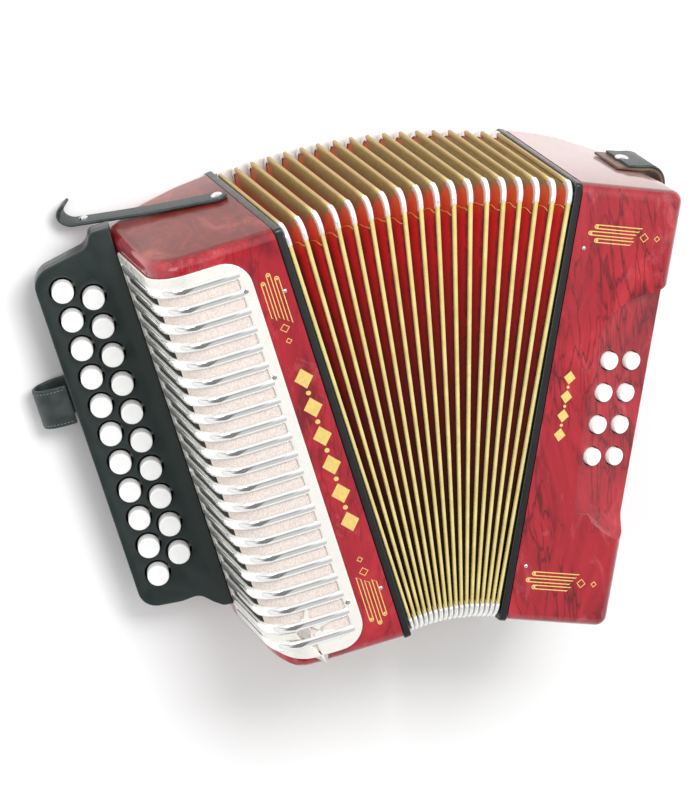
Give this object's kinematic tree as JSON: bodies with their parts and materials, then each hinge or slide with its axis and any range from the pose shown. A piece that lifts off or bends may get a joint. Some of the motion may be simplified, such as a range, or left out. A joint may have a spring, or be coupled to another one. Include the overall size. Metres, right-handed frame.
{
  "type": "two-row button accordion",
  "caption": "Small diatonic button accordion with its bellows fanned open: rows of treble buttons by a slotted grille, bass buttons on the other side, and leather straps.",
  "frame": {"origin": "middle of the plan outline, on the surface the instrument's back lies on", "axes": "+Z out of the front, +Y towards the top end, +X from the treble side to the bass side"},
  "size_m": [0.3936, 0.3042, 0.15],
  "materials": {
    "red_pearl": "red pearl celluloid over wood, gloss",
    "grille_metal": "bright white-silver",
    "black_board": "satin black",
    "strap_leather": "charcoal leather",
    "ivory_buttons": "gloss white",
    "bellows_card": "red cloth over folded card",
    "frame_black": "black lacquer",
    "inner_wood": "bare wood",
    "steel": "drawn rod"
  },
  "bodies": {
    "treble_side": {"treble_casing": "red_pearl", "treble_grille": "grille_metal", "fingerboard": "black_board", "fingerboard_cover": "black_board", "thumb_strap": "strap_leather", "treble_key_axle": "steel", "treble_action_board": "inner_wood", "treble_reed_block": "inner_wood", "treble_bellows_frame": "frame_black"},
    "bellows_fold_02": {"bellows_fold_02": "bellows_card"},
    "bellows_fold_03": {"bellows_fold_03": "bellows_card"},
    "bellows_fold_04": {"bellows_fold_04": "bellows_card"},
    "bellows_fold_05": {"bellows_fold_05": "bellows_card"},
    "bellows_fold_06": {"bellows_fold_06": "bellows_card"},
    "bellows_fold_07": {"bellows_fold_07": "bellows_card"},
    "bellows_fold_08": {"bellows_fold_08": "bellows_card"},
    "bellows_fold_09": {"bellows_fold_09": "bellows_card"},
    "bellows_fold_10": {"bellows_fold_10": "bellows_card"},
    "bellows_fold_11": {"bellows_fold_11": "bellows_card"},
    "bellows_fold_12": {"bellows_fold_12": "bellows_card"},
    "bellows_fold_13": {"bellows_fold_13": "bellows_card"},
    "bellows_fold_14": {"bellows_fold_14": "bellows_card"},
    "bellows_fold_15": {"bellows_fold_15": "bellows_card"},
    "bellows_fold_16": {"bellows_fold_16": "bellows_card"},
    "bass_side": {"bass_casing": "red_pearl", "bass_bellows_frame": "frame_black", "bass_action_board": "inner_wood", "bass_reed_block": "inner_wood", "hand_strap": "strap_leather"},
    "treble_key_outer_01": {"treble_key_outer_01": "ivory_buttons"},
    "treble_key_outer_02": {"treble_key_outer_02": "ivory_buttons"},
    "treble_key_outer_03": {"treble_key_outer_03": "ivory_buttons"},
    "treble_key_outer_04": {"treble_key_outer_04": "ivory_buttons"},
    "treble_key_outer_05": {"treble_key_outer_05": "ivory_buttons"},
    "treble_key_outer_06": {"treble_key_outer_06": "ivory_buttons"},
    "treble_key_outer_07": {"treble_key_outer_07": "ivory_buttons"},
    "treble_key_outer_08": {"treble_key_outer_08": "ivory_buttons"},
    "treble_key_outer_09": {"treble_key_outer_09": "ivory_buttons"},
    "treble_key_outer_10": {"treble_key_outer_10": "ivory_buttons"},
    "treble_key_outer_11": {"treble_key_outer_11": "ivory_buttons"},
    "treble_key_inner_01": {"treble_key_inner_01": "ivory_buttons"},
    "treble_key_inner_02": {"treble_key_inner_02": "ivory_buttons"},
    "treble_key_inner_03": {"treble_key_inner_03": "ivory_buttons"},
    "treble_key_inner_04": {"treble_key_inner_04": "ivory_buttons"},
    "treble_key_inner_05": {"treble_key_inner_05": "ivory_buttons"},
    "treble_key_inner_06": {"treble_key_inner_06": "ivory_buttons"},
    "treble_key_inner_07": {"treble_key_inner_07": "ivory_buttons"},
    "treble_key_inner_08": {"treble_key_inner_08": "ivory_buttons"},
    "treble_key_inner_09": {"treble_key_inner_09": "ivory_buttons"},
    "treble_key_inner_10": {"treble_key_inner_10": "ivory_buttons"},
    "bass_key_inner_1": {"bass_key_inner_1": "ivory_buttons"},
    "bass_key_inner_2": {"bass_key_inner_2": "ivory_buttons"},
    "bass_key_inner_3": {"bass_key_inner_3": "ivory_buttons"},
    "bass_key_inner_4": {"bass_key_inner_4": "ivory_buttons"},
    "bass_key_outer_1": {"bass_key_outer_1": "ivory_buttons"},
    "bass_key_outer_2": {"bass_key_outer_2": "ivory_buttons"},
    "bass_key_outer_3": {"bass_key_outer_3": "ivory_buttons"},
    "bass_key_outer_4": {"bass_key_outer_4": "ivory_buttons"},
    "air_button": {"air_button": "ivory_buttons"},
    "bellows_strap": {"bellows_strap": "strap_leather"}
  },
  "joints": [
    {"name": "treble_key_outer_01_press", "type": "hinge", "parent": "treble_side", "child": "treble_key_outer_01", "pos_m": [-0.1003, -0.01135, 0.0415], "axis": [0.2351, -0.972, 0], "range_deg": [0, 3.3], "stiffness_Nm_per_rad": 0.3, "springref_deg": -6.88},
    {"name": "treble_key_outer_02_press", "type": "hinge", "parent": "treble_side", "child": "treble_key_outer_02", "pos_m": [-0.1003, -0.01135, 0.0415], "axis": [0.2351, -0.972, 0], "range_deg": [0, 3.3], "stiffness_Nm_per_rad": 0.3, "springref_deg": -6.88},
    {"name": "treble_key_outer_03_press", "type": "hinge", "parent": "treble_side", "child": "treble_key_outer_03", "pos_m": [-0.1003, -0.01135, 0.0415], "axis": [0.2351, -0.972, 0], "range_deg": [0, 3.3], "stiffness_Nm_per_rad": 0.3, "springref_deg": -6.88},
    {"name": "treble_key_outer_04_press", "type": "hinge", "parent": "treble_side", "child": "treble_key_outer_04", "pos_m": [-0.1003, -0.01135, 0.0415], "axis": [0.2351, -0.972, 0], "range_deg": [0, 3.3], "stiffness_Nm_per_rad": 0.3, "springref_deg": -6.88},
    {"name": "treble_key_outer_05_press", "type": "hinge", "parent": "treble_side", "child": "treble_key_outer_05", "pos_m": [-0.1003, -0.01135, 0.0415], "axis": [0.2351, -0.972, 0], "range_deg": [0, 3.3], "stiffness_Nm_per_rad": 0.3, "springref_deg": -6.88},
    {"name": "treble_key_outer_06_press", "type": "hinge", "parent": "treble_side", "child": "treble_key_outer_06", "pos_m": [-0.1003, -0.01135, 0.0415], "axis": [0.2351, -0.972, 0], "range_deg": [0, 3.3], "stiffness_Nm_per_rad": 0.3, "springref_deg": -6.88},
    {"name": "treble_key_outer_07_press", "type": "hinge", "parent": "treble_side", "child": "treble_key_outer_07", "pos_m": [-0.1003, -0.01135, 0.0415], "axis": [0.2351, -0.972, 0], "range_deg": [0, 3.3], "stiffness_Nm_per_rad": 0.3, "springref_deg": -6.88},
    {"name": "treble_key_outer_08_press", "type": "hinge", "parent": "treble_side", "child": "treble_key_outer_08", "pos_m": [-0.1003, -0.01135, 0.0415], "axis": [0.2351, -0.972, 0], "range_deg": [0, 3.3], "stiffness_Nm_per_rad": 0.3, "springref_deg": -6.88},
    {"name": "treble_key_outer_09_press", "type": "hinge", "parent": "treble_side", "child": "treble_key_outer_09", "pos_m": [-0.1003, -0.01135, 0.0415], "axis": [0.2351, -0.972, 0], "range_deg": [0, 3.3], "stiffness_Nm_per_rad": 0.3, "springref_deg": -6.88},
    {"name": "treble_key_outer_10_press", "type": "hinge", "parent": "treble_side", "child": "treble_key_outer_10", "pos_m": [-0.1003, -0.01135, 0.0415], "axis": [0.2351, -0.972, 0], "range_deg": [0, 3.3], "stiffness_Nm_per_rad": 0.3, "springref_deg": -6.88},
    {"name": "treble_key_outer_11_press", "type": "hinge", "parent": "treble_side", "child": "treble_key_outer_11", "pos_m": [-0.1003, -0.01135, 0.0415], "axis": [0.2351, -0.972, 0], "range_deg": [0, 3.3], "stiffness_Nm_per_rad": 0.3, "springref_deg": -6.88},
    {"name": "treble_key_inner_01_press", "type": "hinge", "parent": "treble_side", "child": "treble_key_inner_01", "pos_m": [-0.1003, -0.01135, 0.0415], "axis": [0.2351, -0.972, 0], "range_deg": [0, 4.9], "stiffness_Nm_per_rad": 0.3, "springref_deg": -6.88},
    {"name": "treble_key_inner_02_press", "type": "hinge", "parent": "treble_side", "child": "treble_key_inner_02", "pos_m": [-0.1003, -0.01135, 0.0415], "axis": [0.2351, -0.972, 0], "range_deg": [0, 4.9], "stiffness_Nm_per_rad": 0.3, "springref_deg": -6.88},
    {"name": "treble_key_inner_03_press", "type": "hinge", "parent": "treble_side", "child": "treble_key_inner_03", "pos_m": [-0.1003, -0.01135, 0.0415], "axis": [0.2351, -0.972, 0], "range_deg": [0, 4.9], "stiffness_Nm_per_rad": 0.3, "springref_deg": -6.88},
    {"name": "treble_key_inner_04_press", "type": "hinge", "parent": "treble_side", "child": "treble_key_inner_04", "pos_m": [-0.1003, -0.01135, 0.0415], "axis": [0.2351, -0.972, 0], "range_deg": [0, 4.9], "stiffness_Nm_per_rad": 0.3, "springref_deg": -6.88},
    {"name": "treble_key_inner_05_press", "type": "hinge", "parent": "treble_side", "child": "treble_key_inner_05", "pos_m": [-0.1003, -0.01135, 0.0415], "axis": [0.2351, -0.972, 0], "range_deg": [0, 4.9], "stiffness_Nm_per_rad": 0.3, "springref_deg": -6.88},
    {"name": "treble_key_inner_06_press", "type": "hinge", "parent": "treble_side", "child": "treble_key_inner_06", "pos_m": [-0.1003, -0.01135, 0.0415], "axis": [0.2351, -0.972, 0], "range_deg": [0, 4.9], "stiffness_Nm_per_rad": 0.3, "springref_deg": -6.88},
    {"name": "treble_key_inner_07_press", "type": "hinge", "parent": "treble_side", "child": "treble_key_inner_07", "pos_m": [-0.1003, -0.01135, 0.0415], "axis": [0.2351, -0.972, 0], "range_deg": [0, 4.9], "stiffness_Nm_per_rad": 0.3, "springref_deg": -6.88},
    {"name": "treble_key_inner_08_press", "type": "hinge", "parent": "treble_side", "child": "treble_key_inner_08", "pos_m": [-0.1003, -0.01135, 0.0415], "axis": [0.2351, -0.972, 0], "range_deg": [0, 4.9], "stiffness_Nm_per_rad": 0.3, "springref_deg": -6.88},
    {"name": "treble_key_inner_09_press", "type": "hinge", "parent": "treble_side", "child": "treble_key_inner_09", "pos_m": [-0.1003, -0.01135, 0.0415], "axis": [0.2351, -0.972, 0], "range_deg": [0, 4.9], "stiffness_Nm_per_rad": 0.3, "springref_deg": -6.88},
    {"name": "treble_key_inner_10_press", "type": "hinge", "parent": "treble_side", "child": "treble_key_inner_10", "pos_m": [-0.1003, -0.01135, 0.0415], "axis": [0.2351, -0.972, 0], "range_deg": [0, 4.9], "stiffness_Nm_per_rad": 0.3, "springref_deg": -6.88},
    {"name": "bass_key_inner_1_press", "type": "slide", "parent": "bass_side", "child": "bass_key_inner_1", "axis": [-0.2842, 0.0687, -0.9563], "range_m": [0, 0.003], "stiffness_N_per_m": 200, "springref_m": -0.005},
    {"name": "bass_key_inner_2_press", "type": "slide", "parent": "bass_side", "child": "bass_key_inner_2", "axis": [-0.2842, 0.0687, -0.9563], "range_m": [0, 0.003], "stiffness_N_per_m": 200, "springref_m": -0.005},
    {"name": "bass_key_inner_3_press", "type": "slide", "parent": "bass_side", "child": "bass_key_inner_3", "axis": [-0.2842, 0.0687, -0.9563], "range_m": [0, 0.003], "stiffness_N_per_m": 200, "springref_m": -0.005},
    {"name": "bass_key_inner_4_press", "type": "slide", "parent": "bass_side", "child": "bass_key_inner_4", "axis": [-0.2842, 0.0687, -0.9563], "range_m": [0, 0.003], "stiffness_N_per_m": 200, "springref_m": -0.005},
    {"name": "bass_key_outer_1_press", "type": "slide", "parent": "bass_side", "child": "bass_key_outer_1", "axis": [-0.2842, 0.0687, -0.9563], "range_m": [0, 0.003], "stiffness_N_per_m": 200, "springref_m": -0.005},
    {"name": "bass_key_outer_2_press", "type": "slide", "parent": "bass_side", "child": "bass_key_outer_2", "axis": [-0.2842, 0.0687, -0.9563], "range_m": [0, 0.003], "stiffness_N_per_m": 200, "springref_m": -0.005},
    {"name": "bass_key_outer_3_press", "type": "slide", "parent": "bass_side", "child": "bass_key_outer_3", "axis": [-0.2842, 0.0687, -0.9563], "range_m": [0, 0.003], "stiffness_N_per_m": 200, "springref_m": -0.005},
    {"name": "bass_key_outer_4_press", "type": "slide", "parent": "bass_side", "child": "bass_key_outer_4", "axis": [-0.2842, 0.0687, -0.9563], "range_m": [0, 0.003], "stiffness_N_per_m": 200, "springref_m": -0.005},
    {"name": "air_button_press", "type": "slide", "parent": "bass_side", "child": "air_button", "axis": [-0.9561, 0.2313, 0.1799], "range_m": [0, 0.003], "stiffness_N_per_m": 200, "springref_m": -0.005},
    {"name": "bellows_strap_turn", "type": "hinge", "parent": "treble_side", "child": "bellows_strap", "pos_m": [-0.08049, 0.13851, 0.057], "axis": [0.2351, -0.972, 0], "range_deg": [0, 136]},
    {"name": "bellows_fan_02", "type": "hinge", "parent": "treble_side", "child": "bellows_fold_02", "pos_m": [0.00305, -0.12837, 0.0735], "axis": [0, 0, 1], "range_deg": [-1.27, 2.33], "deforming": ["bellows_fold_02"]},
    {"name": "bellows_draw_03", "type": "slide", "parent": "bellows_fold_02", "child": "bellows_fold_03", "axis": [0.9836, 0.1805, 0], "range_m": [0, 0.012], "deforming": ["bellows_fold_03"]},
    {"name": "bellows_fan_04", "type": "hinge", "parent": "bellows_fold_03", "child": "bellows_fold_04", "pos_m": [0.00923, -0.12724, 0.0735], "axis": [0, 0, 1], "range_deg": [-1.7, 3.1], "deforming": ["bellows_fold_04"]},
    {"name": "bellows_draw_05", "type": "slide", "parent": "bellows_fold_04", "child": "bellows_fold_05", "axis": [0.9921, 0.1253, 0], "range_m": [0, 0.012], "deforming": ["bellows_fold_05"]},
    {"name": "bellows_fan_06", "type": "hinge", "parent": "bellows_fold_05", "child": "bellows_fold_06", "pos_m": [0.01545, -0.12645, 0.0735], "axis": [0, 0, 1], "range_deg": [-1.7, 3.1], "deforming": ["bellows_fold_06"]},
    {"name": "bellows_draw_07", "type": "slide", "parent": "bellows_fold_06", "child": "bellows_fold_07", "axis": [0.9976, 0.0698, 0], "range_m": [0, 0.012], "deforming": ["bellows_fold_07"]},
    {"name": "bellows_fan_08", "type": "hinge", "parent": "bellows_fold_07", "child": "bellows_fold_08", "pos_m": [0.02172, -0.12602, 0.0735], "axis": [0, 0, 1], "range_deg": [-1.7, 3.1], "deforming": ["bellows_fold_08"]},
    {"name": "bellows_draw_09", "type": "slide", "parent": "bellows_fold_08", "child": "bellows_fold_09", "axis": [0.9999, 0.014, 0], "range_m": [0, 0.012], "deforming": ["bellows_fold_09"]},
    {"name": "bellows_fan_10", "type": "hinge", "parent": "bellows_fold_09", "child": "bellows_fold_10", "pos_m": [0.028, -0.12593, 0.0735], "axis": [0, 0, 1], "range_deg": [-1.7, 3.1], "deforming": ["bellows_fold_10"]},
    {"name": "bellows_draw_11", "type": "slide", "parent": "bellows_fold_10", "child": "bellows_fold_11", "axis": [0.9991, -0.0419, 0], "range_m": [0, 0.012], "deforming": ["bellows_fold_11"]},
    {"name": "bellows_fan_12", "type": "hinge", "parent": "bellows_fold_11", "child": "bellows_fold_12", "pos_m": [0.03427, -0.12619, 0.0735], "axis": [0, 0, 1], "range_deg": [-1.7, 3.1], "deforming": ["bellows_fold_12"]},
    {"name": "bellows_draw_13", "type": "slide", "parent": "bellows_fold_12", "child": "bellows_fold_13", "axis": [0.9952, -0.0976, 0], "range_m": [0, 0.012], "deforming": ["bellows_fold_13"]},
    {"name": "bellows_fan_14", "type": "hinge", "parent": "bellows_fold_13", "child": "bellows_fold_14", "pos_m": [0.04052, -0.1268, 0.0735], "axis": [0, 0, 1], "range_deg": [-1.7, 3.1], "deforming": ["bellows_fold_14"]},
    {"name": "bellows_draw_15", "type": "slide", "parent": "bellows_fold_14", "child": "bellows_fold_15", "axis": [0.9882, -0.153, 0], "range_m": [0, 0.012], "deforming": ["bellows_fold_15"]},
    {"name": "bellows_fan_16", "type": "hinge", "parent": "bellows_fold_15", "child": "bellows_fold_16", "pos_m": [0.04673, -0.12776, 0.0735], "axis": [0, 0, 1], "range_deg": [-1.49, 2.71], "deforming": ["bellows_fold_16"]},
    {"name": "bellows_fan_17", "type": "hinge", "parent": "bellows_fold_16", "child": "bass_side", "pos_m": [0.04981, -0.12837, 0.0735], "axis": [0, 0, 1], "range_deg": [-1.49, 2.71]}
  ],
  "couplings": [
    {"joint": "bellows_fan_02", "follows": "bellows_fan_04", "ratio": 0.75},
    {"joint": "bellows_draw_05", "follows": "bellows_draw_03", "ratio": 1},
    {"joint": "bellows_fan_06", "follows": "bellows_fan_04", "ratio": 1},
    {"joint": "bellows_draw_07", "follows": "bellows_draw_03", "ratio": 1},
    {"joint": "bellows_fan_08", "follows": "bellows_fan_04", "ratio": 1},
    {"joint": "bellows_draw_09", "follows": "bellows_draw_03", "ratio": 1},
    {"joint": "bellows_fan_10", "follows": "bellows_fan_04", "ratio": 1},
    {"joint": "bellows_draw_11", "follows": "bellows_draw_03", "ratio": 1},
    {"joint": "bellows_fan_12", "follows": "bellows_fan_04", "ratio": 1},
    {"joint": "bellows_draw_13", "follows": "bellows_draw_03", "ratio": 1},
    {"joint": "bellows_fan_14", "follows": "bellows_fan_04", "ratio": 1},
    {"joint": "bellows_draw_15", "follows": "bellows_draw_03", "ratio": 1},
    {"joint": "bellows_fan_16", "follows": "bellows_fan_04", "ratio": 0.875},
    {"joint": "bellows_fan_17", "follows": "bellows_fan_04", "ratio": 0.875}
  ]
}
